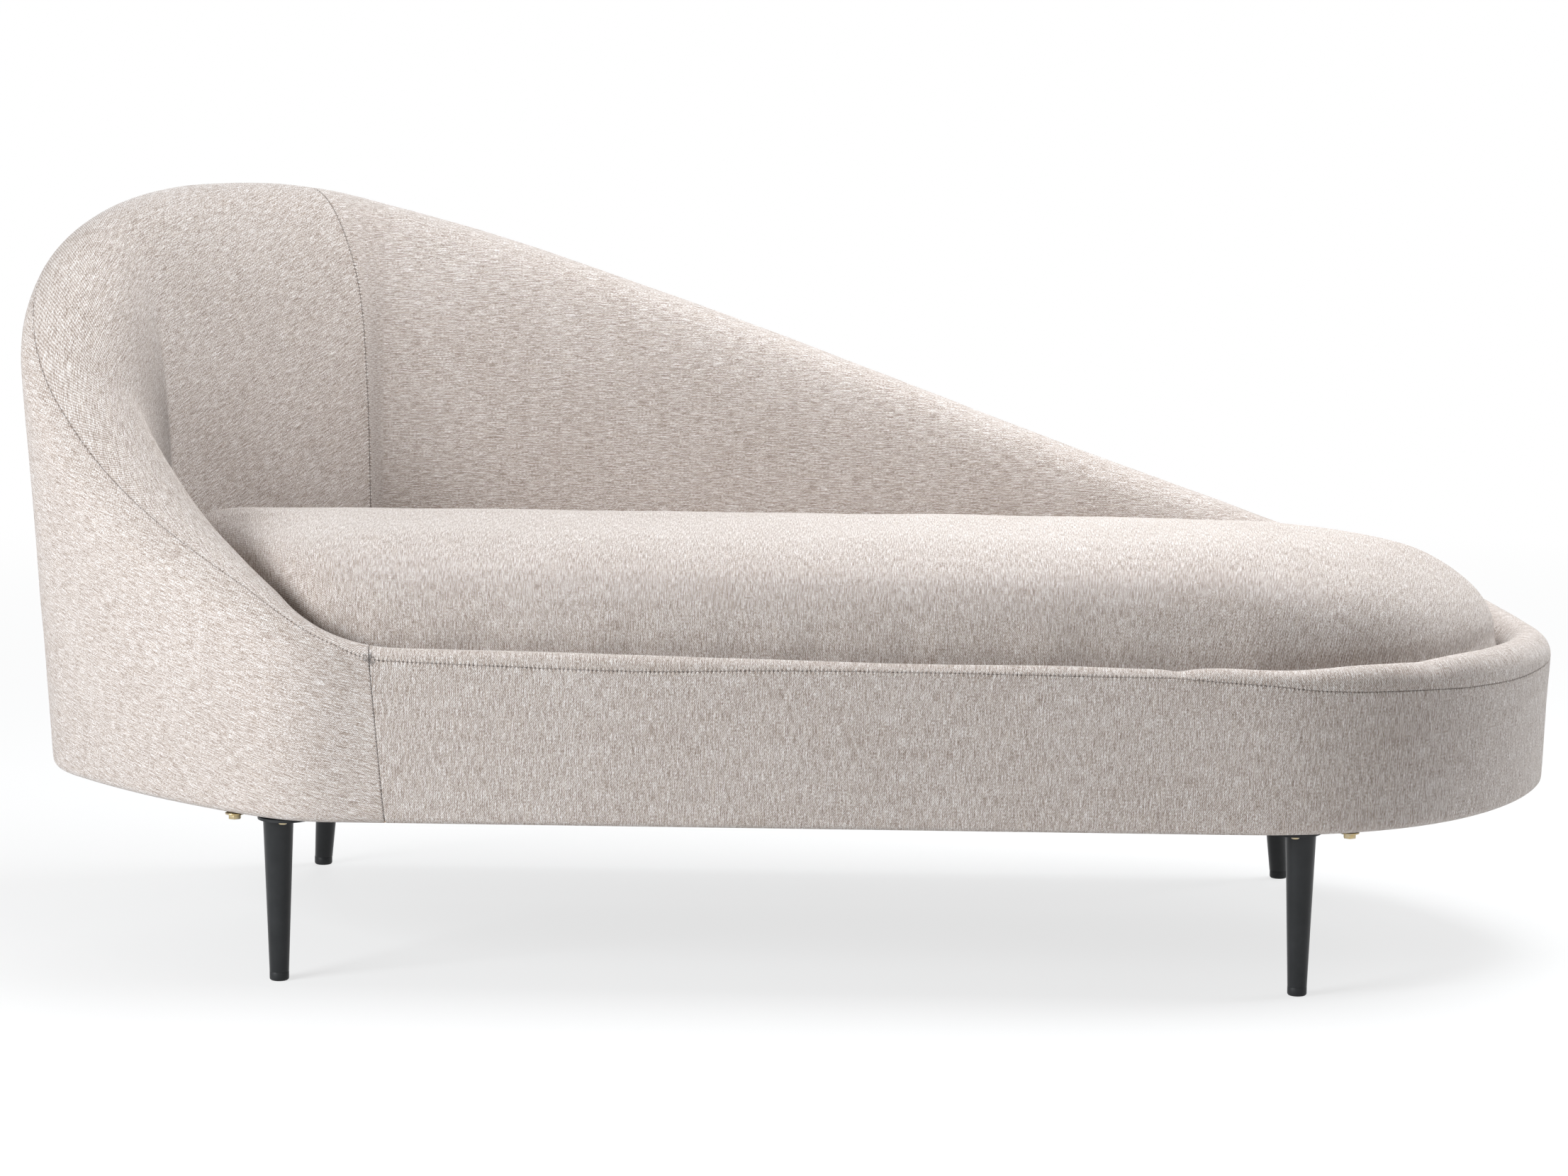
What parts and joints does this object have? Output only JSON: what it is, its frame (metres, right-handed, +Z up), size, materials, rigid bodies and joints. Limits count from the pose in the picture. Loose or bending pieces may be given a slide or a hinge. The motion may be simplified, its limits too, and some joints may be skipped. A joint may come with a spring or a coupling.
{
  "type": "chaise longue",
  "caption": "Upholstered chaise longue with a wrap-round wall, high at the head end and sloping down along the back to a low rim, a crowned seat cushion and slim tapered legs.",
  "frame": {"origin": "on the floor under the middle of the overall bounding box", "axes": "+X towards the low foot end, +Y towards the long back wall, +Z up"},
  "size_m": [1.7756, 0.7446, 0.8508],
  "materials": {
    "upholstery_fabric": "heathered woven greige",
    "lining_cloth": "black non-woven",
    "webbing": "woven strap",
    "plywood": "unfinished",
    "timber": "planed",
    "fibreboard": "unfinished",
    "leg_finish": "satin black",
    "glide_plastic": "matt black",
    "plate_finish": "satin black"
  },
  "bodies": {
    "root": {"head_outer_panel": "upholstery_fabric", "back_outer_panel": "upholstery_fabric", "front_outer_panel": "upholstery_fabric", "head_inner_panel": "upholstery_fabric", "back_inner_panel": "upholstery_fabric", "front_inner_panel": "upholstery_fabric", "seat_cushion": "upholstery_fabric", "dust_cover": "lining_cloth", "seat_platform_cloth": "lining_cloth", "seat_webbing_across": "webbing", "seat_webbing_along": "webbing", "seat_frame_head_bow": "plywood", "seat_frame_foot_bow": "plywood", "seat_frame_front_rail": "timber", "seat_frame_back_rail": "timber", "seat_frame_slats": "timber", "cross_rails": "timber", "rim_blocks": "timber", "head_posts": "timber", "back_posts": "timber", "head_top_rail": "plywood", "back_top_rail": "plywood", "head_outer_skin": "fibreboard", "head_inner_skin": "fibreboard", "back_outer_skin": "fibreboard", "back_inner_skin": "fibreboard", "foot_board": "plywood", "front_board": "plywood", "base_former_head": "plywood", "base_former_foot": "plywood", "base_former_front": "plywood", "base_former_back": "plywood", "legs_front": "leg_finish", "legs_rear": "leg_finish", "leg_glides": "glide_plastic", "leg_plates": "plate_finish"}
  },
  "joints": []
}
